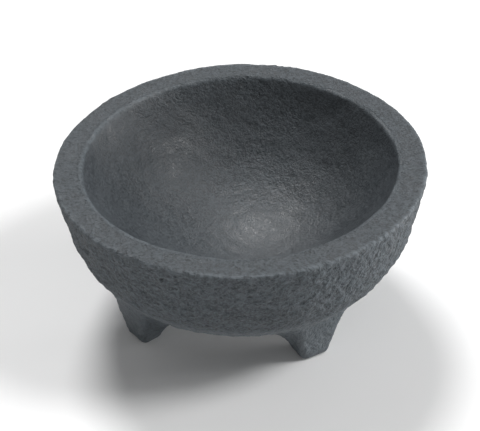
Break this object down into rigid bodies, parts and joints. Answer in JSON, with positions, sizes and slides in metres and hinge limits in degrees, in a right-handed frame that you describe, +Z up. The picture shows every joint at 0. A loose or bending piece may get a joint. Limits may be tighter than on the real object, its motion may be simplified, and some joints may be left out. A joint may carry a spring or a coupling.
{
  "type": "molcajete",
  "caption": "Thick-walled stone grinding bowl with a flat rim and a smooth round hollow, standing on short squared legs that flare into its underside.",
  "frame": {"origin": "centre of the bowl's footprint, on the surface that the feet stand on", "axes": "+Z up through the centre of the bowl and out of its hollow; -Y is the front, between the two front legs; +X to the right seen from the front"},
  "size_m": [0.2, 0.2, 0.092],
  "materials": {
    "bowl_stone": "dark blue-grey fine-grained basalt: outer wall pecked and pitted, rim flat and fine, hollow ground smooth",
    "leg_stone": "the same basalt, pecked all over, worn along the arrises and under the feet"
  },
  "bodies": {
    "root": {"bowl": "bowl_stone", "leg_front_left": "leg_stone", "leg_front_right": "leg_stone", "leg_back": "leg_stone"}
  },
  "joints": []
}
